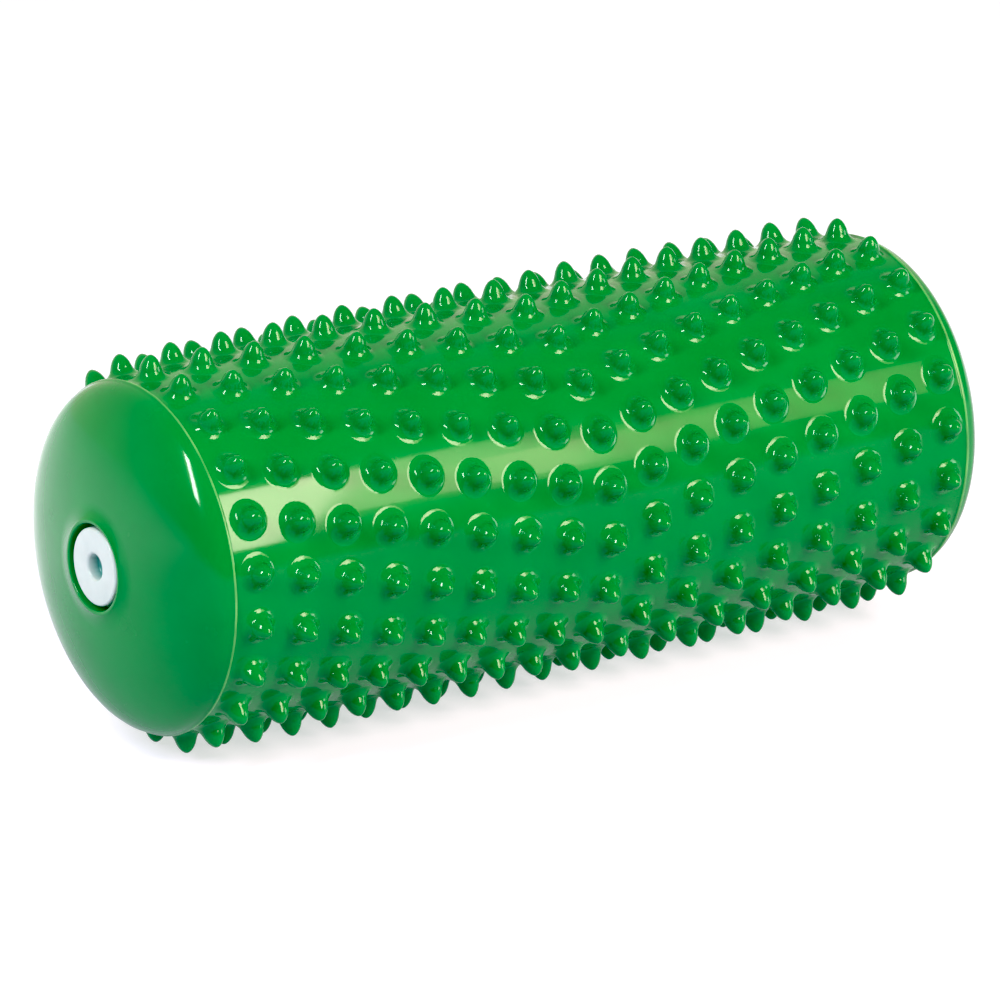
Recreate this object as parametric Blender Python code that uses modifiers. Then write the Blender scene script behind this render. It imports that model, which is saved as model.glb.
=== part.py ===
"""Inflatable foot massage roller: a hollow soft-PVC moulding covered in spikes, with a needle valve
plugged into one end.

Metres, +Z up. X runs along the roller, with the valve end at -X, and the origin is at the bottom centre,
under the spike tips that the roller rests on. Each turned piece is a profile of (radius, height) points,
where height is measured from the middle of the roller towards the valve end.
"""

import math

import bmesh
import bpy
from mathutils import Matrix

COLLECTION = "foot_massage_roller"

# The spikes: rings along the roller, each turned a little from the last up to the middle ring, then back.
RING_COUNT = 17
RING_PITCH = 0.010
SPIKES_PER_RING = 21
SPIKE_TURN = 2 * math.pi / SPIKES_PER_RING
RING_TURN = SPIKE_TURN * 2 / 9
MIDDLE_RING = RING_COUNT // 2

# The moulding: a slight barrel between two elliptical domes, with a raised parting line round each rim.
RIM_RADIUS = 0.0342
BULGE = 0.0011
BULGE_POWER = 4
RIM_HEIGHT = 0.085
DOME_DEPTH = 0.0102
WALL = 0.0024
RIM_BEAD = 0.0004
RIM_BEAD_WIDTH = 0.0010
BODY_SIDES = 24
BARREL_STEPS = 8
DOME_STEPS = 5

# One spike, as a tapered peg sunk a little into the barrel's wall.
SPIKE_HEIGHT = 0.0044
SPIKE_SIDES = 6
SPIKE_ROOT_RADIUS = 0.0029
SPIKE_END_RADIUS = 0.0014
SPIKE_SINK = 0.0010

# The valve: a headed plug in a stepped socket, with a rubber seal in the plug's inner end.
GAP = 0.0003
PLUG_RECESS = 0.0003
HEAD_RADIUS = 0.0076
HEAD_THICKNESS = 0.0025
HEAD_CHAMFER = 0.0004
STEM_RADIUS = 0.0051
STEM_LENGTH = 0.0075
RIB_COUNT = 3
RIB_HEIGHT = 0.0004
RIB_WIDTH = 0.0010
FUNNEL_RADIUS = 0.0026
FUNNEL_THROAT_RADIUS = 0.0021
FUNNEL_THROAT_DEPTH = 0.0024
FUNNEL_DEPTH = 0.0032
CHANNEL_RADIUS = 0.0009
SEAL_RADIUS = 0.0023
SEAL_LENGTH = 0.0034
SEAL_TIP_RADIUS = 0.0012
SEAL_TAPER_LENGTH = 0.0014
POCKET_RADIUS = 0.0085
LIP_WIDTH = 0.0007
LIP_SLOPE_WIDTH = 0.0006
SOCKET_WALL = 0.0022
AIR_HOLE_RADIUS = 0.0017

TIP_RADIUS = RIM_RADIUS + BULGE + SPIKE_HEIGHT
END_HEIGHT = RIM_HEIGHT + DOME_DEPTH
FACE_HEIGHT = END_HEIGHT - PLUG_RECESS
HEAD_BACK_HEIGHT = FACE_HEIGHT - HEAD_THICKNESS
STEM_END_HEIGHT = HEAD_BACK_HEIGHT - STEM_LENGTH
SEAL_END_HEIGHT = STEM_END_HEIGHT + GAP
SEAL_TOP_HEIGHT = SEAL_END_HEIGHT + SEAL_LENGTH
SOCKET_RADIUS = STEM_RADIUS + RIB_HEIGHT + GAP
LIP_FOOT_RADIUS = POCKET_RADIUS + LIP_WIDTH + LIP_SLOPE_WIDTH

MERGE_DISTANCE = 1e-6
SHARP_ANGLE = math.radians(40)


def clear_scene():
    for obj in list(bpy.data.objects):
        bpy.data.objects.remove(obj, do_unlink=True)


def new_collection(name):
    collection = bpy.data.collections.new(name)
    bpy.context.scene.collection.children.link(collection)
    return collection


def make_material(name, colour, roughness):
    material = bpy.data.materials.new(name)
    material.use_nodes = True
    surface = material.node_tree.nodes["Principled BSDF"]
    surface.inputs["Base Color"].default_value = (*colour, 1.0)
    surface.inputs["Roughness"].default_value = roughness
    surface.inputs["Metallic"].default_value = 0.0
    return material


def new_object(name, mesh, collection):
    """An object whose local +Z points out of the valve end, from the middle of the roller."""
    obj = bpy.data.objects.new(name, mesh)
    collection.objects.link(obj)
    lift = Matrix.Translation((0, 0, TIP_RADIUS))
    obj.matrix_world = lift @ Matrix.Rotation(-math.pi / 2, 4, "Y")
    return obj


def turned(name, profile, collection, closed=False):
    """A piece turned from a profile that runs down its outside. A closed profile makes a ring."""
    edges = [(i, i + 1) for i in range(len(profile) - 1)]
    if closed:
        edges.append((len(profile) - 1, 0))
    mesh = bpy.data.meshes.new(name)
    mesh.from_pydata([(radius, 0, height) for radius, height in profile], edges, [])
    obj = new_object(name, mesh, collection)
    screw = obj.modifiers.new("turn", "SCREW")
    screw.steps = BODY_SIDES
    screw.render_steps = BODY_SIDES
    screw.use_merge_vertices = True
    screw.merge_threshold = MERGE_DISTANCE
    return obj


def finish_piece(obj, material):
    """Applies the modifiers, shades the piece smooth between its real edges and gives it its material."""
    graph = bpy.context.evaluated_depsgraph_get()
    mesh = bpy.data.meshes.new_from_object(obj.evaluated_get(graph))
    obj.modifiers.clear()
    obj.data = mesh
    mesh.shade_smooth()
    mesh.set_sharp_from_angle(angle=SHARP_ANGLE)
    mesh.materials.clear()
    mesh.materials.append(material)


def barrel_radius(height):
    return RIM_RADIUS + BULGE * (1 - (height / RIM_HEIGHT) ** BULGE_POWER)


def barrel(inset=0.0):
    """The barrel's points between the rims, from the far end up, for a skin inset from the outside."""
    heights = [RIM_HEIGHT * (2 * step / BARREL_STEPS - 1) for step in range(1, BARREL_STEPS)]
    return [(barrel_radius(height) - inset, height) for height in heights]


def dome(start_radius, inset=0.0):
    """An end dome's points, from a start radius out to the rim, for a skin inset from the outside."""
    rim_radius = RIM_RADIUS - inset
    depth = DOME_DEPTH - inset
    start = math.asin(start_radius / rim_radius)
    angles = [start + (math.pi / 2 - start) * step / DOME_STEPS for step in range(DOME_STEPS + 1)]
    return [(rim_radius * math.sin(a), RIM_HEIGHT + depth * math.cos(a)) for a in angles]


def outer_end(start_radius):
    """The outside of one end, from a start radius to just past the bead on its rim."""
    bead = [
        (RIM_RADIUS, RIM_HEIGHT + RIM_BEAD_WIDTH / 2),
        (RIM_RADIUS + RIM_BEAD, RIM_HEIGHT + RIM_BEAD_WIDTH / 4),
        (RIM_RADIUS + RIM_BEAD, RIM_HEIGHT - RIM_BEAD_WIDTH / 4),
        (RIM_RADIUS, RIM_HEIGHT - RIM_BEAD_WIDTH / 2),
    ]
    return dome(start_radius)[:-1] + bead


def flipped(profile):
    """The same points at the other end of the roller."""
    return [(radius, -height) for radius, height in profile]


def socket(boss_radius):
    """The valve socket, from the boss inside the chamber, out through the air hole, to the pocket's lip."""
    floor = STEM_END_HEIGHT - GAP
    pocket_floor = HEAD_BACK_HEIGHT - GAP
    neck_radius = SOCKET_RADIUS + SOCKET_WALL
    return [
        (boss_radius, pocket_floor - SOCKET_WALL),
        (neck_radius, pocket_floor - SOCKET_WALL),
        (neck_radius, floor - SOCKET_WALL),
        (AIR_HOLE_RADIUS, floor - SOCKET_WALL),
        (AIR_HOLE_RADIUS, floor),
        (SOCKET_RADIUS, floor),
        (SOCKET_RADIUS, pocket_floor),
        (POCKET_RADIUS, pocket_floor),
        (POCKET_RADIUS, END_HEIGHT),
        (POCKET_RADIUS + LIP_WIDTH, END_HEIGHT),
    ]


def shell_profile():
    """Up the inside from the far end, out through the valve socket, and down the outside."""
    boss_radius = POCKET_RADIUS + SOCKET_WALL
    inside = flipped(dome(0.0, WALL)) + barrel(WALL) + dome(boss_radius, WALL)[::-1]
    outside = outer_end(LIP_FOOT_RADIUS) + barrel()[::-1] + flipped(outer_end(0.0))[::-1]
    return inside + socket(boss_radius) + outside


def spike_places():
    """(height, angle) of each spike. One spike of the middle ring points straight down."""
    for ring in range(RING_COUNT):
        steps_from_middle = abs(ring - MIDDLE_RING)
        for spike in range(SPIKES_PER_RING):
            angle = math.pi + spike * SPIKE_TURN - steps_from_middle * RING_TURN
            yield (MIDDLE_RING - ring) * RING_PITCH, angle


def make_spikes(collection):
    """All the spikes as one helper, each a tapered peg whose root is inside the barrel's wall."""
    length = SPIKE_HEIGHT + SPIKE_SINK
    spread = (SPIKE_ROOT_RADIUS - SPIKE_END_RADIUS) / SPIKE_HEIGHT
    shape = bmesh.new()
    for height, angle in spike_places():
        outward = Matrix.Rotation(-angle, 4, "Z") @ Matrix.Translation((0, 0, height))
        middle = barrel_radius(height) + SPIKE_HEIGHT - length / 2
        along_x = Matrix.Translation((middle, 0, 0)) @ Matrix.Rotation(math.pi / 2, 4, "Y")
        bmesh.ops.create_cone(
            shape,
            cap_ends=True,
            segments=SPIKE_SIDES,
            radius1=SPIKE_ROOT_RADIUS + spread * SPIKE_SINK,
            radius2=SPIKE_END_RADIUS,
            depth=length,
            matrix=outward @ along_x,
        )
    mesh = bpy.data.meshes.new("spikes")
    shape.to_mesh(mesh)
    shape.free()
    spikes = new_object("spikes", mesh, collection)
    spikes.hide_render = True
    spikes.display_type = "WIRE"
    return spikes


def make_shell(collection, helpers, material):
    shell = turned("roller_shell", shell_profile(), collection)
    join = shell.modifiers.new("join_spikes", "BOOLEAN")
    join.operation = "UNION"
    join.solver = "EXACT"
    join.object = make_spikes(helpers)
    finish_piece(shell, material)


def stem_ribs():
    """The plug's stem from under the head to its end, with the ribs that grip the socket."""
    points = [(STEM_RADIUS, HEAD_BACK_HEIGHT)]
    for rib in range(RIB_COUNT):
        top = HEAD_BACK_HEIGHT - STEM_LENGTH * (rib + 0.5) / RIB_COUNT
        points += [
            (STEM_RADIUS, top),
            (STEM_RADIUS + RIB_HEIGHT, top - RIB_WIDTH / 2),
            (STEM_RADIUS, top - RIB_WIDTH),
        ]
    points.append((STEM_RADIUS, STEM_END_HEIGHT))
    return points


def make_plug(collection, material):
    """A head with a funnel for the pump needle, and a hollow stem that holds the seal."""
    seat_radius = SEAL_RADIUS + GAP
    seat_height = SEAL_TOP_HEIGHT + GAP
    head = [
        (FUNNEL_RADIUS, FACE_HEIGHT),
        (HEAD_RADIUS - HEAD_CHAMFER, FACE_HEIGHT),
        (HEAD_RADIUS, FACE_HEIGHT - HEAD_CHAMFER),
        (HEAD_RADIUS, HEAD_BACK_HEIGHT),
    ]
    inside = [
        (seat_radius, STEM_END_HEIGHT),
        (seat_radius, seat_height),
        (CHANNEL_RADIUS, seat_height),
        (CHANNEL_RADIUS, FACE_HEIGHT - FUNNEL_DEPTH),
        (FUNNEL_THROAT_RADIUS, FACE_HEIGHT - FUNNEL_THROAT_DEPTH),
    ]
    plug = turned("valve_plug", head + stem_ribs() + inside, collection, closed=True)
    finish_piece(plug, material)


def make_seal(collection, material):
    """The self-sealing rubber that the needle passes through, tapered at its inner end."""
    profile = [
        (0, SEAL_TOP_HEIGHT),
        (SEAL_RADIUS, SEAL_TOP_HEIGHT),
        (SEAL_RADIUS, SEAL_END_HEIGHT + SEAL_TAPER_LENGTH),
        (SEAL_TIP_RADIUS, SEAL_END_HEIGHT),
        (0, SEAL_END_HEIGHT),
    ]
    finish_piece(turned("valve_seal", profile, collection), material)


def main():
    clear_scene()
    pieces = new_collection(COLLECTION)
    helpers = new_collection("helpers")
    make_shell(pieces, helpers, make_material("green_pvc", (0.0, 0.305, 0.038), 0.2))
    make_plug(pieces, make_material("white_pvc", (0.62, 0.75, 0.76), 0.35))
    make_seal(pieces, make_material("seal_rubber", (0.12, 0.12, 0.12), 0.6))


main()
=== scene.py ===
"""Looks of the inflatable foot massage roller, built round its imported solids.

X runs along the roller, with the valve end at -X. A turn is an angle about the roller's axis, from
straight up towards -Y. Each turned skin is a list of rings, followed in the order that keeps its
outside outside.
"""
import math
import random

import bpy
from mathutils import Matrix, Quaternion, Vector, noise


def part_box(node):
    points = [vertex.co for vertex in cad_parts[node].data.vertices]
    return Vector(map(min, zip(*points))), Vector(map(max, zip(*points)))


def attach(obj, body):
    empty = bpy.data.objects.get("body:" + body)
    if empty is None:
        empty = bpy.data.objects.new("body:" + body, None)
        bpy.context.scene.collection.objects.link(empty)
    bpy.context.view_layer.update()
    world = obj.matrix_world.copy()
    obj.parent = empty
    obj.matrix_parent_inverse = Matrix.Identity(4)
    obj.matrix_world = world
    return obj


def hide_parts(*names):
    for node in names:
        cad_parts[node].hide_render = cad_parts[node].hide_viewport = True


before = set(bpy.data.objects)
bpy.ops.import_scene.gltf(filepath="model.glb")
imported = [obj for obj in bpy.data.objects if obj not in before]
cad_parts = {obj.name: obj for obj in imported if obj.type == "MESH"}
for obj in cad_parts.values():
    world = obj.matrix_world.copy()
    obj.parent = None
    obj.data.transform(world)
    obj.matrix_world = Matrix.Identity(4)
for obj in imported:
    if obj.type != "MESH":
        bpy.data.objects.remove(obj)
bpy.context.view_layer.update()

SHELL_LOW, SHELL_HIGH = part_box("roller_shell")
PLUG_LOW, PLUG_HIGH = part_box("valve_plug")
SEAL_LOW, SEAL_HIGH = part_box("valve_seal")

# The roller, from its packed box. An out is a distance from the roller's middle towards an end.
AXIS_Z = (SHELL_LOW[2] + SHELL_HIGH[2]) / 2
TIP_RADIUS = (SHELL_HIGH[2] - SHELL_LOW[2]) / 2
END_OUT = (SHELL_HIGH[0] - SHELL_LOW[0]) / 2
ROLLER = Vector((0, 0, AXIS_Z))
FACE_OUT = -PLUG_LOW[0]
STEM_END_OUT = -PLUG_HIGH[0]
HEAD_RADIUS = (PLUG_HIGH[1] - PLUG_LOW[1]) / 2
SEAL_TOP_OUT = -SEAL_LOW[0]
SEAL_END_OUT = -SEAL_HIGH[0]
SEAL_RADIUS = (SEAL_HIGH[1] - SEAL_LOW[1]) / 2

# The moulding's skin, which swells a little between its rims.
RIM_RADIUS = 0.0342
BULGE = 0.0011
BULGE_POWER = 4
DOME_DEPTH = 0.0102
RIM_OUT = END_OUT - DOME_DEPTH
WALL = 0.0024
FLASH_HEIGHT = 0.0004
FLASH_HALF_WIDTH = 0.0005
DENT_DEPTH = 0.00010
DENT_SCALE = 45.0
DENT_START_RADIUS = 0.010
DENT_FADE_WIDTH = 0.006

# The spikes. Each ring is turned by two ninths of a spike from the last, up to the middle ring and
# back, so the edges of every spike's patch of skin lie on one grid of ninths.
RING_COUNT = 17
MIDDLE_RING = RING_COUNT // 2
RING_PITCH = 0.010
SPIKES_PER_RING = 21
PATCH_STEPS = 9
RING_SHIFT_STEPS = 2
SKIN_STEPS = SPIKES_PER_RING * PATCH_STEPS
STEP_TURN = 2 * math.pi / SKIN_STEPS
SIDE_STEPS = 3
SPIKE_HEIGHT = TIP_RADIUS - RIM_RADIUS - BULGE
OGIVE_RADIUS = 0.00235
OGIVE_HEIGHT = 0.0040
OGIVE_POWER = 1.8
OGIVE_STEPS = 5
FILLET_HEIGHT = 0.0016
FILLET_STEPS = 4
LEAN = 0.00015
SHORTFALL = 0.00015

# The valve.
GAP = 0.0003
HEAD_THICKNESS = 0.0025
STEM_RADIUS = 0.0051
RIB_COUNT = 3
RIB_HEIGHT = 0.0004
RIB_WIDTH = 0.0010
FUNNEL_RADIUS = 0.0026
FUNNEL_THROAT_RADIUS = 0.0021
FUNNEL_THROAT_DEPTH = 0.0024
FUNNEL_DEPTH = 0.0032
CHANNEL_RADIUS = 0.0009
POCKET_RADIUS = 0.0085
LIP_WIDTH = 0.0007
LIP_SLOPE_WIDTH = 0.0006
SOCKET_WALL = 0.0022
AIR_HOLE_RADIUS = 0.0017
HEAD_BACK_OUT = FACE_OUT - HEAD_THICKNESS
SOCKET_RADIUS = STEM_RADIUS + RIB_HEIGHT + GAP

COARSE_STEPS = SKIN_STEPS // 3
APEX_STEPS = COARSE_STEPS // 3
VALVE_STEPS = 96
CHAMBER_STEPS = 8
SHARP_ANGLE = math.radians(42)

# The stage. The floor's glow and the studio's wall differ between the camera's rays and the roller's.
FLOOR_HALF = 6.0
FLOOR_GLOW_SEEN = 0.62
FLOOR_GLOW_IN_FRONT = 0.30
FLOOR_GLOW_BEHIND = 1.10
FLOOR_GLOW_FROM_Y = 0.01
FLOOR_GLOW_TO_Y = 0.14
WALL_SEEN = (1.1, 1.1, 1.1, 1.0)
WALL_IN_FRONT = (0.05, 0.05, 0.05, 1.0)
WALL_BEHIND = (1.2, 1.1, 0.85, 1.0)
VIEW_BLACK_LEVEL = (0.042, 0.0, 0.013)
CAMERA_AZIMUTH = math.radians(-34.1)
CAMERA_ELEVATION = math.radians(18.25)
CAMERA_DISTANCE = 2.05
CAMERA_LENS = 380.8
AIM_LEFT = 0.00181
AIM_DOWN = 0.00395
KEY_ROLL = -15.0


# --- Skins -------------------------------------------------------------------------------------------


def place(x, radius, turn):
    return Vector((x, -radius * math.sin(turn), AXIS_Z + radius * math.cos(turn)))


def step_turn(step):
    """The turn of a line of the grid. The lines miss the spike that points straight down."""
    return math.pi + (step + 0.5) * STEP_TURN


def arc(ring, index, count):
    """The points of one of a ring's equal arcs, with both its ends."""
    if len(ring) == 1:
        return list(ring)
    share = len(ring) // count
    return [ring[(index * share + i) % len(ring)] for i in range(share + 1)]


class Skin:
    """The points and faces of one piece, and the normals of the points that need their own."""

    def __init__(self):
        self.points = []
        self.faces = []
        self.normals = {}

    def add(self, point, normal=None):
        self.points.append(point)
        if normal is not None:
            self.normals[len(self.points) - 1] = normal
        return len(self.points) - 1

    def ring(self, x, radius, steps, flattening=1.0):
        """The numbers of a ring of points, or of the one point that it is on the axis."""
        if radius == 0:
            return [self.add(place(x, 0, 0))]
        ring = []
        for i in range(steps):
            point = place(x, radius, step_turn(0) + 2 * math.pi * i / steps)
            point.z = AXIS_Z + (point.z - AXIS_Z) * flattening
            ring.append(self.add(point))
        return ring

    def join(self, first, second):
        """The faces between two rings. One may have a whole number of times the other's points."""
        sizes = (len(first), len(second))
        count = max(sizes) if 1 in sizes else min(sizes)
        for i in range(count):
            self.faces.append(arc(first, i, count) + arc(second, i, count)[::-1])

    def join_all(self, rings):
        for first, second in zip(rings, rings[1:]):
            self.join(first, second)

    def piece(self, name):
        mesh = bpy.data.meshes.new(name)
        mesh.from_pydata(self.points, [], self.faces)
        mesh.shade_smooth()
        mesh.set_sharp_from_angle(angle=SHARP_ANGLE)
        obj = bpy.data.objects.new(name, mesh)
        bpy.context.scene.collection.objects.link(obj)
        return obj


def softened(profile, rounds, steps=4):
    """An (out, radius) profile with some corners rounded: rounds maps a point's place to a radius."""
    points = []
    for i, point in enumerate(profile):
        if i not in rounds:
            points.append(point)
            continue
        corner = Vector(point)
        back = (Vector(profile[i - 1]) - corner).normalized()
        on = (Vector(profile[(i + 1) % len(profile)]) - corner).normalized()
        half = back.angle(on) / 2
        centre = corner + (back + on).normalized() * rounds[i] / math.sin(half)
        start = corner + back * rounds[i] / math.tan(half) - centre
        end = corner + on * rounds[i] / math.tan(half) - centre
        for step in range(steps + 1):
            points.append(tuple(centre + start.lerp(end, step / steps).normalized() * rounds[i]))
    return points


# --- The moulded shell -------------------------------------------------------------------------------


def barrel_radius(x):
    return RIM_RADIUS + BULGE * (1 - (x / RIM_OUT) ** BULGE_POWER)


def dome(start_radius, inset, steps):
    """An end dome's (out, radius) points, from a start radius to the rim, inset from the outside."""
    rim_radius = RIM_RADIUS - inset
    start = math.asin(start_radius / rim_radius)
    angles = [start + (math.pi / 2 - start) * step / steps for step in range(steps + 1)]
    depth = DOME_DEPTH - inset
    return [(RIM_OUT + depth * math.cos(a), rim_radius * math.sin(a)) for a in angles]


def flash_rings(skin, side):
    """The ridge of the mould's parting line round one rim, from the dome on. Side is -1 or 1."""
    rings = []
    for across in (1.0, 0.5, 0.0, -0.5):
        ring = []
        for step in range(SKIN_STEPS):
            turn = step_turn(step)
            along = Vector((side, 3 * math.cos(turn), 3 * math.sin(turn)))
            height = FLASH_HEIGHT * (0.8 + 0.2 * noise.noise(along)) * (1 - across * across)
            out = RIM_OUT + FLASH_HALF_WIDTH * across
            ring.append(skin.add(place(side * out, RIM_RADIUS + height, turn)))
        rings.append(ring)
    return rings


def spike_profile():
    """(distance from the spike's axis, height, tilt of the normal) from the foot to near the tip."""
    profile = []
    base = SPIKE_HEIGHT - OGIVE_HEIGHT
    start = math.asin(((FILLET_HEIGHT - base) / OGIVE_HEIGHT) ** (OGIVE_POWER / 2))
    for i in range(OGIVE_STEPS):
        along = start + (math.pi / 2 - start) * i / OGIVE_STEPS
        across, up = math.cos(along) ** (2 / OGIVE_POWER), math.sin(along) ** (2 / OGIVE_POWER)
        slope = (across / up) ** (OGIVE_POWER - 1) * OGIVE_HEIGHT / OGIVE_RADIUS
        profile.append((OGIVE_RADIUS * across, base + OGIVE_HEIGHT * up, math.atan(slope)))
    low_radius, low_height, steep = profile[0]
    fillet = low_height / (1 - math.cos(steep))
    foot = []
    for i in range(FILLET_STEPS):
        tilt = steep * i / FILLET_STEPS
        radius = low_radius + fillet * (math.sin(steep) - math.sin(tilt))
        foot.append((radius, fillet * (1 - math.cos(tilt)), tilt))
    return foot + profile


def outward(x, turn):
    """The barrel's own normal."""
    slope = BULGE_POWER * BULGE * (x / RIM_OUT) ** (BULGE_POWER - 1) / RIM_OUT
    return (place(slope, 1, turn) - ROLLER).normalized()


def skin_point(skin, x, turn):
    return skin.add(place(x, barrel_radius(x), turn), outward(x, turn))


def spike(skin, edge, x, turn, chance):
    """One spike, from its patch's edge to its tip, bent round the barrel that it stands on."""
    lean = Vector((chance.uniform(-LEAN, LEAN), chance.uniform(-LEAN, LEAN)))
    stretch = 1 - chance.uniform(0, SHORTFALL) / SPIKE_HEIGHT
    rings = [edge]
    for from_axis, height, tilt in spike_profile():
        height *= stretch
        shift = lean * (height / SPIKE_HEIGHT) ** 2
        ring = []
        for i in range(len(edge)):
            angle = 2 * math.pi * (i - (PATCH_STEPS / 2)) / len(edge)
            across = Vector((math.cos(angle), -math.sin(angle)))
            here_x = x + from_axis * across.x + shift.x
            radius = barrel_radius(here_x) + height
            here = turn + (from_axis * across.y + shift.y) / radius
            round_barrel = place(0, 1, here + math.pi / 2) - ROLLER
            sideways = Vector((across.x, 0, 0)) + round_barrel * across.y
            normal = outward(here_x, here) * math.cos(tilt) + sideways * math.sin(tilt)
            ring.append(skin.add(place(here_x, radius, here), normal.normalized()))
        rings.append(ring)
    tip_x = x + lean.x
    tip_turn = turn + lean.y / TIP_RADIUS
    tip = place(tip_x, barrel_radius(tip_x) + SPIKE_HEIGHT * stretch, tip_turn)
    rings.append([skin.add(tip, outward(tip_x, tip_turn))])
    skin.join_all(rings)


def spiked_barrel(skin):
    """The barrel as one patch of skin for each spike. Returns its first circle and its last."""
    chance = random.Random(17)
    last_out = RIM_OUT - FLASH_HALF_WIDTH
    circle_xs = [(i - RING_COUNT / 2) * RING_PITCH for i in range(RING_COUNT + 1)]
    circle_xs[0] = -last_out
    circle_xs[-1] = last_out
    circles = [
        [skin_point(skin, x, step_turn(step)) for step in range(SKIN_STEPS)]
        for x in circle_xs
    ]
    for ring in range(RING_COUNT):
        near, far = circles[ring], circles[ring + 1]
        near_x, far_x = circle_xs[ring], circle_xs[ring + 1]
        shift = RING_SHIFT_STEPS * abs(ring - MIDDLE_RING)
        sides = []
        for number in range(SPIKES_PER_RING):
            step = PATCH_STEPS * (number - 1) + PATCH_STEPS // 2 - shift
            between = [near_x + (far_x - near_x) * i / SIDE_STEPS for i in range(1, SIDE_STEPS)]
            sides.append([skin_point(skin, x, step_turn(step)) for x in between])
        for number in range(SPIKES_PER_RING):
            first = PATCH_STEPS * (number - 1) + PATCH_STEPS // 2 - shift
            steps = [(first + i) % SKIN_STEPS for i in range(PATCH_STEPS + 1)]
            edge = [far[step] for step in steps[:0:-1]]
            edge += [far[steps[0]]] + sides[number][::-1]
            edge += [near[step] for step in steps[:-1]]
            edge += [near[steps[-1]]] + sides[(number + 1) % SPIKES_PER_RING]
            turn = (step_turn(first) + step_turn(first + PATCH_STEPS)) / 2
            spike(skin, edge, (ring - MIDDLE_RING) * RING_PITCH, turn, chance)
    return circles[0], circles[-1]


def inside_rings(skin):
    """The chamber's wall from the far end, then out through the air hole and the socket to the lip."""
    boss_radius = POCKET_RADIUS + SOCKET_WALL
    floor = STEM_END_OUT - GAP
    pocket_floor = HEAD_BACK_OUT - GAP
    neck_radius = SOCKET_RADIUS + SOCKET_WALL
    far = [(-out, radius) for out, radius in dome(0.0, WALL, 10)]
    socket = [
        (pocket_floor - SOCKET_WALL, boss_radius),
        (pocket_floor - SOCKET_WALL, neck_radius),
        (floor - SOCKET_WALL, neck_radius),
        (floor - SOCKET_WALL, AIR_HOLE_RADIUS),
        (floor, AIR_HOLE_RADIUS),
        (floor, SOCKET_RADIUS),
        (pocket_floor, SOCKET_RADIUS),
        (pocket_floor, SOCKET_RADIUS + 0.0006),
    ]
    outs = [RIM_OUT * (2 * i / CHAMBER_STEPS - 1) for i in range(1, CHAMBER_STEPS)]
    barrel = [(out, barrel_radius(out) - WALL) for out in outs]
    near = dome(boss_radius, WALL, CHAMBER_STEPS)[::-1]
    boss = softened(socket, {1: 0.0008, 2: 0.0008, 6: 0.0003}, 2)
    rings = []
    for out, radius in far + barrel + near + boss:
        steps = APEX_STEPS if radius < 0.006 and out < 0 else COARSE_STEPS
        rings.append(skin.ring(-out, radius, steps))
    lip_foot = dome(POCKET_RADIUS + LIP_WIDTH + LIP_SLOPE_WIDTH, 0.0, 1)[0]
    pocket = [
        (pocket_floor, SOCKET_RADIUS + 0.0012),
        (pocket_floor, POCKET_RADIUS),
        (END_OUT, POCKET_RADIUS),
        (END_OUT, POCKET_RADIUS + LIP_WIDTH),
        lip_foot,
    ]
    rounds = {1: 0.0004, 2: 0.0003, 3: 0.0003}
    rings += [skin.ring(-out, radius, SKIN_STEPS) for out, radius in softened(pocket, rounds)]
    return rings


def far_dome_rings(skin):
    """The plain end, from its rim to its middle, on fewer points as it gets smaller."""
    rings = []
    for out, radius in dome(0.0, 0.0, 18)[-2::-1]:
        if radius > 0.014:
            steps = SKIN_STEPS
        elif radius > 0.005:
            steps = COARSE_STEPS
        else:
            steps = APEX_STEPS
        rings.append(skin.ring(out, radius, steps))
    return rings


def dent(point):
    """How far the moulding has shrunk in at a point of its outside. The valve's lip stays true."""
    from_axis = math.hypot(point.y, point.z - AXIS_Z)
    fade = min(1.0, max(0.0, (from_axis - DENT_START_RADIUS) / DENT_FADE_WIDTH))
    return DENT_DEPTH * fade * (0.5 + 0.5 * noise.noise(point * DENT_SCALE))


def dent_slope(point):
    """How the dent's depth changes along each axis."""
    step = 0.0004
    axes = (Vector((step, 0, 0)), Vector((0, step, 0)), Vector((0, 0, step)))
    return Vector([(dent(point + axis) - dent(point - axis)) / (2 * step) for axis in axes])


def set_normals(mesh, own_normals):
    """Gives some of a mesh's points their own normals, and leaves the others as they are shaded."""
    normals = [tuple(corner.vector) for corner in mesh.corner_normals]
    for loop in mesh.loops:
        if loop.vertex_index in own_normals:
            normals[loop.index] = tuple(own_normals[loop.vertex_index])
    mesh.normals_split_custom_set(normals)


def make_shell():
    skin = Skin()
    rings = inside_rings(skin)
    first_outside = len(skin.points)
    near_dome = dome(POCKET_RADIUS + LIP_WIDTH + LIP_SLOPE_WIDTH, 0.0, 14)[1:-1]
    rings += [skin.ring(-out, radius, SKIN_STEPS) for out, radius in near_dome]
    rings += flash_rings(skin, -1)
    first_circle, last_circle = spiked_barrel(skin)
    skin.join_all(rings + [first_circle])
    skin.join_all([last_circle] + flash_rings(skin, 1)[::-1] + far_dome_rings(skin))
    shell = skin.piece("shell_moulding")
    smooth = [point.vector.copy() for point in shell.data.vertex_normals]
    own_normals = {}
    for number in range(first_outside, len(skin.points)):
        point = skin.points[number]
        normal = skin.normals.get(number, smooth[number])
        shell.data.vertices[number].co = point - normal * dent(point)
        if number in skin.normals:
            slope = dent_slope(point)
            own_normals[number] = (normal + slope - normal * normal.dot(slope)).normalized()
    set_normals(shell.data, own_normals)
    return shell


# --- The valve ---------------------------------------------------------------------------------------


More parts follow.
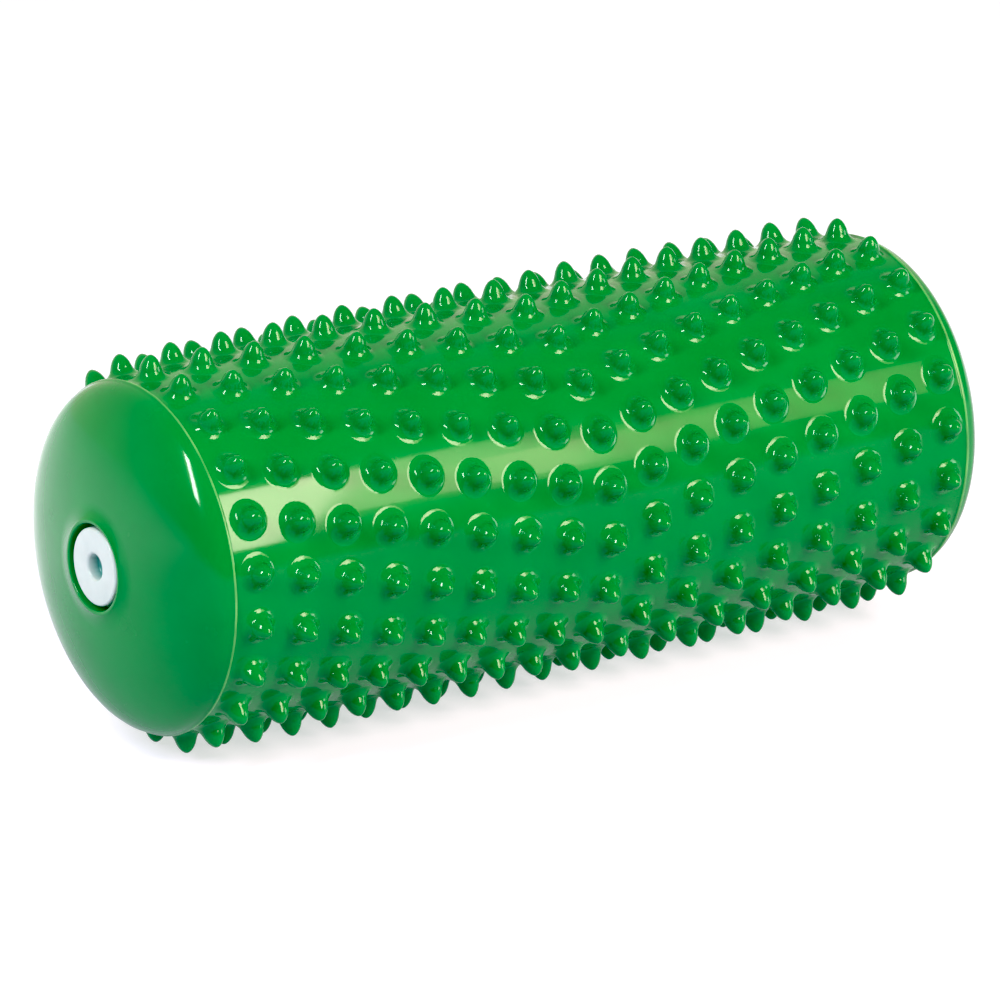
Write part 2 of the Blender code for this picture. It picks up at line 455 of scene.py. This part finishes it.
def stem_profile():
    """The plug's stem from under the head to its end, with the ribs that grip the socket."""
    length = HEAD_BACK_OUT - STEM_END_OUT
    points = []
    rounds = {}
    for rib in range(RIB_COUNT):
        top = HEAD_BACK_OUT - length * (rib + 0.5) / RIB_COUNT
        points.append((top, STEM_RADIUS))
        points.append((top - RIB_WIDTH / 2, STEM_RADIUS + RIB_HEIGHT))
        points.append((top - RIB_WIDTH, STEM_RADIUS))
        rounds[3 * rib + 1] = 0.0002
    return points, rounds


def make_plug():
    """A head with a rounded edge and a funnel for the needle, on a ribbed stem that holds the seal."""
    seat_radius = SEAL_RADIUS + GAP
    seat_out = SEAL_TOP_OUT + GAP
    stem, stem_rounds = stem_profile()
    head = [
        (FACE_OUT - 0.0001, FUNNEL_RADIUS),
        (FACE_OUT, HEAD_RADIUS),
        (HEAD_BACK_OUT, HEAD_RADIUS),
        (HEAD_BACK_OUT, STEM_RADIUS),
    ]
    inside = [
        (STEM_END_OUT, STEM_RADIUS),
        (STEM_END_OUT, seat_radius),
        (seat_out, seat_radius),
        (seat_out, CHANNEL_RADIUS),
        (FACE_OUT - FUNNEL_DEPTH, CHANNEL_RADIUS),
        (FACE_OUT - FUNNEL_THROAT_DEPTH, FUNNEL_THROAT_RADIUS),
    ]
    after_stem = len(head) + len(stem)
    rounds = {0: 0.0006, 1: 0.0005, 2: 0.0003, 3: 0.0002}
    rounds |= {len(head) + i: size for i, size in stem_rounds.items()}
    rounds |= {after_stem: 0.0003, after_stem + 1: 0.0002}
    rounds |= {after_stem + 4: 0.0003, after_stem + 5: 0.0004}
    skin = Skin()
    profile = softened(head + stem + inside, rounds)
    rings = [skin.ring(-out, radius, VALVE_STEPS) for out, radius in profile]
    skin.join_all(rings + [rings[0]])
    return skin.piece("plug_moulding")


def make_seal():
    """The rubber that the needle passes through: a dimpled top, and a flattened tip with a slit."""
    rings = [
        (SEAL_TOP_OUT - 0.0003, 0.0, 1.0),
        (SEAL_TOP_OUT - 0.00025, 0.0003, 1.0),
        (SEAL_TOP_OUT - 0.0001, 0.0007, 1.0),
        (SEAL_TOP_OUT, 0.0011, 1.0),
        (SEAL_TOP_OUT, SEAL_RADIUS - 0.0002, 1.0),
        (SEAL_TOP_OUT - 0.00006, SEAL_RADIUS - 0.00006, 1.0),
        (SEAL_TOP_OUT - 0.0002, SEAL_RADIUS, 1.0),
        (SEAL_END_OUT + 0.0016, SEAL_RADIUS, 1.0),
        (SEAL_END_OUT + 0.0014, SEAL_RADIUS - 0.00004, 0.97),
        (SEAL_END_OUT + 0.0007, SEAL_RADIUS - 0.0004, 0.72),
        (SEAL_END_OUT + 0.00015, 0.00145, 0.50),
        (SEAL_END_OUT, 0.0013, 0.42),
        (SEAL_END_OUT, 0.0010, 0.06),
        (SEAL_END_OUT + 0.0005, 0.0010, 0.04),
        (SEAL_END_OUT + 0.0005, 0.0, 1.0),
    ]
    skin = Skin()
    skin.join_all([skin.ring(-out, radius, VALVE_STEPS, flat) for out, radius, flat in rings])
    return skin.piece("seal_moulding")


# --- Materials ---------------------------------------------------------------------------------------


def principled(name, values):
    """A material and its shader, with some of the shader's sockets set."""
    material = bpy.data.materials.new(name)
    material.use_nodes = True
    shader = material.node_tree.nodes["Principled BSDF"]
    for socket, value in values.items():
        shader.inputs[socket].default_value = value
    return material, shader


def add_noise(material, scale, detail, roughness=0.5):
    """A noise over the piece's own space. Returns its value."""
    nodes, links = material.node_tree.nodes, material.node_tree.links
    where = nodes.new("ShaderNodeTexCoord")
    texture = nodes.new("ShaderNodeTexNoise")
    texture.inputs["Scale"].default_value = scale
    texture.inputs["Detail"].default_value = detail
    texture.inputs["Roughness"].default_value = roughness
    links.new(where.outputs["Object"], texture.inputs["Vector"])
    return texture.outputs["Fac"]


def add_ramp(material, value, low, high, start=0.3, end=0.7):
    """A value spread between two colours. Returns the colour."""
    ramp = material.node_tree.nodes.new("ShaderNodeValToRGB")
    ramp.color_ramp.elements[0].position = start
    ramp.color_ramp.elements[0].color = (*low, 1.0)
    ramp.color_ramp.elements[1].position = end
    ramp.color_ramp.elements[1].color = (*high, 1.0)
    material.node_tree.links.new(value, ramp.inputs["Fac"])
    return ramp.outputs["Color"]


def add_range(material, value, low, high, start=0.3, end=0.7, interpolation="LINEAR"):
    """A value from start to end spread between two numbers. Returns the number."""
    spread = material.node_tree.nodes.new("ShaderNodeMapRange")
    spread.interpolation_type = interpolation
    spread.inputs["From Min"].default_value = start
    spread.inputs["From Max"].default_value = end
    spread.inputs["To Min"].default_value = low
    spread.inputs["To Max"].default_value = high
    material.node_tree.links.new(value, spread.inputs["Value"])
    return spread.outputs["Result"]


def add_maths(material, operation, first, second=0.0):
    """A number from one or two, each a value of the material's or a plain number."""
    maths = material.node_tree.nodes.new("ShaderNodeMath")
    maths.operation = operation
    for socket, term in zip(maths.inputs, (first, second)):
        if isinstance(term, float):
            socket.default_value = term
        else:
            material.node_tree.links.new(term, socket)
    return maths.outputs["Value"]


def add_parts(tree, space):
    """The X, Y and Z of each point, in one of the Texture Coordinate node's spaces."""
    where = tree.nodes.new("ShaderNodeTexCoord")
    parts = tree.nodes.new("ShaderNodeSeparateXYZ")
    tree.links.new(where.outputs[space], parts.inputs["Vector"])
    return parts.outputs


def add_place(material):
    """How far out each point is from the roller's middle towards an end, and how far from its axis."""
    parts = add_parts(material.node_tree, "Object")
    out = add_maths(material, "ABSOLUTE", parts["X"])
    across = add_maths(material, "POWER", parts["Y"], 2.0)
    height = add_maths(material, "SUBTRACT", parts["Z"], AXIS_Z)
    up = add_maths(material, "POWER", height, 2.0)
    return out, add_maths(material, "SQRT", add_maths(material, "ADD", across, up))


def add_band(material, value, middle, half_width, half_reach):
    """1 where a value is within half_width of a middle, fading to 0 at half_reach from it."""
    off = add_maths(material, "ABSOLUTE", add_maths(material, "SUBTRACT", value, middle))
    return add_range(material, off, 1.0, 0.0, half_width, half_reach)


def add_mix(material, factor, colour, other):
    """A colour of the material's mixed with a plain one."""
    mix = material.node_tree.nodes.new("ShaderNodeMix")
    mix.data_type = "RGBA"
    mix.inputs["B"].default_value = (*other, 1.0)
    material.node_tree.links.new(factor, mix.inputs["Factor"])
    material.node_tree.links.new(colour, mix.inputs["A"])
    return mix.outputs["Result"]


def add_bumps(material, bumps):
    """Stacked bumps, each a (value, distance). Returns the normal."""
    normal = None
    for value, distance in bumps:
        bump = material.node_tree.nodes.new("ShaderNodeBump")
        bump.inputs["Strength"].default_value = 1.0
        bump.inputs["Distance"].default_value = distance
        material.node_tree.links.new(value, bump.inputs["Height"])
        if normal is not None:
            material.node_tree.links.new(normal, bump.inputs["Normal"])
        normal = bump.outputs["Normal"]
    return normal


def green_pvc():
    """Soft glossy PVC, barely mottled, with fine orange-peel from the mould, and a painted highlight:
    a paler colour in patches along the parting-line ridge at each rim.
    """
    material, shader = principled("green_pvc_look", {
        "IOR": 1.5,
        "Specular IOR Level": 0.10,
        "Specular Tint": (0.6, 1.0, 0.5, 1.0),
        "Coat Weight": 0.45,
        "Coat Roughness": 0.09,
        "Coat IOR": 1.5,
        "Subsurface Weight": 0.10,
        "Subsurface Radius": (0.0004, 0.0026, 0.0008),
        "Subsurface Scale": 1.0,
    })
    links = material.node_tree.links
    mottle = add_noise(material, 60.0, 4.0)
    colour = add_ramp(material, mottle, (0.0, 0.158, 0.021), (0.001, 0.182, 0.027))
    side, _ = add_place(material)
    # Painted highlight: the parting-line ridge round each rim is coloured paler, in noisy patches, to
    # stand for a bright line of light along it.
    ridge = add_band(material, side, RIM_OUT, 0.00012, 0.00032)
    rim_highlight_patchiness = add_range(material, add_noise(material, 180.0, 3.0), 0.3, 1.0)
    painted_rim_highlight = add_maths(material, "MULTIPLY", ridge, rim_highlight_patchiness)
    links.new(add_mix(material, painted_rim_highlight, colour, (0.13, 0.34, 0.11)), shader.inputs["Base Color"])
    gloss = add_range(material, add_noise(material, 150.0, 3.0), 0.20, 0.28)
    links.new(gloss, shader.inputs["Roughness"])
    peel = add_noise(material, 260.0, 2.0)
    speckle = add_noise(material, 2600.0, 2.0)
    links.new(add_bumps(material, [(peel, 0.000006), (speckle, 0.000002)]), shader.inputs["Normal"])
    links.new(add_bumps(material, [(peel, 0.000003)]), shader.inputs["Coat Normal"])
    return material


def white_pvc():
    """Satin bluish-white PVC, a little translucent, with a dark teal painted shade down in its funnel.
    """
    material, shader = principled("white_pvc_look", {
        "IOR": 1.5,
        "Coat Weight": 0.25,
        "Coat Roughness": 0.15,
        "Subsurface Weight": 0.18,
        "Subsurface Radius": (0.0006, 0.0011, 0.0012),
        "Subsurface Scale": 1.0,
    })
    links = material.node_tree.links
    mottle = add_noise(material, 300.0, 4.0)
    colour = add_ramp(material, mottle, (0.43, 0.51, 0.51), (0.48, 0.56, 0.56))
    side, from_axis = add_place(material)
    # Painted shade: the deep part of the funnel is coloured dark teal by depth, for the shadow down
    # the hole and the green light from the roller.
    bottom = FACE_OUT - FUNNEL_DEPTH
    below_throat = FUNNEL_DEPTH - FUNNEL_THROAT_DEPTH
    low = add_band(material, side, bottom, below_throat, FUNNEL_DEPTH - 0.0004)
    inside = add_band(material, from_axis, 0.0, FUNNEL_RADIUS, FUNNEL_RADIUS + 0.0006)
    funnel_painted_shade = add_maths(material, "MULTIPLY", low, inside)
    links.new(add_mix(material, funnel_painted_shade, colour, (0.03, 0.20, 0.19)), shader.inputs["Base Color"])
    gloss = add_range(material, add_noise(material, 900.0, 3.0), 0.34, 0.46)
    links.new(gloss, shader.inputs["Roughness"])
    grain = add_noise(material, 1800.0, 3.0)
    links.new(add_bumps(material, [(grain, 0.00001)]), shader.inputs["Normal"])
    return material


def seal_rubber():
    """Dull dark rubber with a dusty bloom."""
    material, shader = principled("seal_rubber_look", {
        "IOR": 1.5,
        "Sheen Weight": 0.15,
        "Sheen Roughness": 0.5,
    })
    links = material.node_tree.links
    bloom = add_noise(material, 700.0, 5.0)
    colour = add_ramp(material, bloom, (0.045, 0.045, 0.048), (0.10, 0.10, 0.105))
    links.new(colour, shader.inputs["Base Color"])
    links.new(add_range(material, bloom, 0.55, 0.72), shader.inputs["Roughness"])
    grain = add_noise(material, 3000.0, 3.0)
    links.new(add_bumps(material, [(grain, 0.00001)]), shader.inputs["Normal"])
    return material


def floor_paper():
    """Matt pale lilac-grey paper that glows, so that the camera sees it white.

    The roller's rays meet another glow than the camera's: dim in front of it and brighter behind.
    """
    material, shader = principled("floor_paper", {
        "Roughness": 0.9,
        "Specular IOR Level": 0.1,
        "Emission Color": (1.0, 1.0, 1.0, 1.0),
    })
    fibre = add_noise(material, 14.0, 5.0)
    colour = add_ramp(material, fibre, (0.44, 0.42, 0.58), (0.47, 0.45, 0.61))
    nodes, links = material.node_tree.nodes, material.node_tree.links
    links.new(colour, shader.inputs["Base Color"])
    behind = add_range(
        material, add_parts(material.node_tree, "Object")["Y"],
        FLOOR_GLOW_IN_FRONT, FLOOR_GLOW_BEHIND, FLOOR_GLOW_FROM_Y, FLOOR_GLOW_TO_Y, "SMOOTHSTEP",
    )
    seen = nodes.new("ShaderNodeLightPath")
    glow = nodes.new("ShaderNodeMix")
    glow.inputs["B"].default_value = FLOOR_GLOW_SEEN
    links.new(behind, glow.inputs["A"])
    links.new(seen.outputs["Is Camera Ray"], glow.inputs["Factor"])
    links.new(glow.outputs["Result"], shader.inputs["Emission Strength"])
    return material


# --- Studio ------------------------------------------------------------------------------------------


def make_floor():
    half = FLOOR_HALF
    mesh = bpy.data.meshes.new("floor")
    corners = [(-half, -half, 0), (half, -half, 0), (half, half, 0), (-half, half, 0)]
    mesh.from_pydata(corners, [], [(0, 1, 2, 3)])
    mesh.materials.append(floor_paper())
    floor = bpy.data.objects.new("floor", mesh)
    floor.location.z = SHELL_LOW[2]
    bpy.context.scene.collection.objects.link(floor)


def softbox(name, azimuth, elevation, distance, size, radiance, colour=(1.0, 1.0, 1.0), roll=0.0):
    """A rectangular light that faces the roller. Azimuth 0 is on the -Y side and 90 on the +X side."""
    a, e = math.radians(azimuth), math.radians(elevation)
    back = Vector((math.sin(a) * math.cos(e), -math.cos(a) * math.cos(e), math.sin(e)))
    light = bpy.data.lights.new(name, "AREA")
    light.shape = "RECTANGLE"
    light.size, light.size_y = size
    light.energy = radiance * math.pi * size[0] * size[1]
    light.color = colour
    obj = bpy.data.objects.new(name, light)
    obj.location = ROLLER + back * distance
    facing = back.to_track_quat("Z", "Y") @ Quaternion((0, 0, 1), math.radians(roll))
    obj.rotation_euler = facing.to_euler()
    bpy.context.scene.collection.objects.link(obj)


def make_world():
    """A studio with a warm bright wall behind the roller, dim in front. The camera sees even white."""
    world = bpy.data.worlds.new("studio")
    bpy.context.scene.world = world
    world.use_nodes = True
    nodes, links = world.node_tree.nodes, world.node_tree.links
    spread = nodes.new("ShaderNodeMapRange")
    spread.interpolation_type = "SMOOTHSTEP"
    spread.inputs["From Min"].default_value = -0.10
    spread.inputs["From Max"].default_value = 0.80
    links.new(add_parts(world.node_tree, "Generated")["Y"], spread.inputs["Value"])
    seen = nodes.new("ShaderNodeLightPath")
    wall, view = nodes.new("ShaderNodeMix"), nodes.new("ShaderNodeMix")
    wall.data_type = view.data_type = "RGBA"
    wall.inputs["A"].default_value = WALL_IN_FRONT
    wall.inputs["B"].default_value = WALL_BEHIND
    view.inputs["B"].default_value = WALL_SEEN
    links.new(spread.outputs["Result"], wall.inputs["Factor"])
    links.new(wall.outputs["Result"], view.inputs["A"])
    links.new(seen.outputs["Is Camera Ray"], view.inputs["Factor"])
    links.new(view.outputs["Result"], nodes["Background"].inputs["Color"])
    nodes["Background"].inputs["Strength"].default_value = 1.0


def make_camera():
    azimuth, elevation = CAMERA_AZIMUTH, CAMERA_ELEVATION
    back = Vector((
        math.sin(azimuth) * math.cos(elevation),
        -math.cos(azimuth) * math.cos(elevation),
        math.sin(elevation),
    ))
    right = Vector((math.cos(azimuth), math.sin(azimuth), 0))
    up = back.cross(right)
    data = bpy.data.cameras.new("camera")
    data.lens = CAMERA_LENS
    data.sensor_width = 36
    camera = bpy.data.objects.new("camera", data)
    aim = ROLLER - right * AIM_LEFT - up * AIM_DOWN
    camera.location = aim + back * CAMERA_DISTANCE
    camera.rotation_euler = back.to_track_quat("Z", "Y").to_euler()
    bpy.context.scene.collection.objects.link(camera)
    bpy.context.scene.camera = camera


def set_view():
    """A black level that takes faint red and blue to nothing, which makes the whole view greener."""
    settings = bpy.context.scene.view_settings
    settings.view_transform = "Standard"
    settings.use_curve_mapping = True
    settings.curve_mapping.black_level = VIEW_BLACK_LEVEL
    settings.curve_mapping.update()


def main():
    pieces = [
        (make_shell(), "roller", "roller_shell", "green_pvc", green_pvc()),
        (make_plug(), "valve", "valve_plug", "white_pvc", white_pvc()),
        (make_seal(), "valve", "valve_seal", "seal_rubber", seal_rubber()),
    ]
    for piece, body, node, slot, material in pieces:
        piece.data.materials.append(material)
        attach(piece, body)
        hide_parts(node)
    make_floor()
    make_world()
    softbox("key", 19.0, 30.0, 1.05, (0.34, 0.62), 24.0, (1.0, 0.82, 0.66), KEY_ROLL)
    softbox("near_card", 33.3, 30.0, 1.05, (0.105, 0.42), 8.4, (1.0, 0.84, 0.55), KEY_ROLL)
    softbox("mid_card", 34.8, 23.4, 1.05, (0.06, 0.30), 6.0, (1.0, 0.88, 0.50), KEY_ROLL)
    softbox("far_card", 42.2, 24.3, 1.05, (0.17, 0.30), 4.4, (1.0, 0.88, 0.45), KEY_ROLL)
    softbox("right_fill", 60.0, 0.0, 1.2, (0.40, 0.60), 8.0)
    softbox("left_strip", -76.0, 40.0, 0.9, (0.10, 0.50), 50.0)
    make_camera()
    set_view()


main()
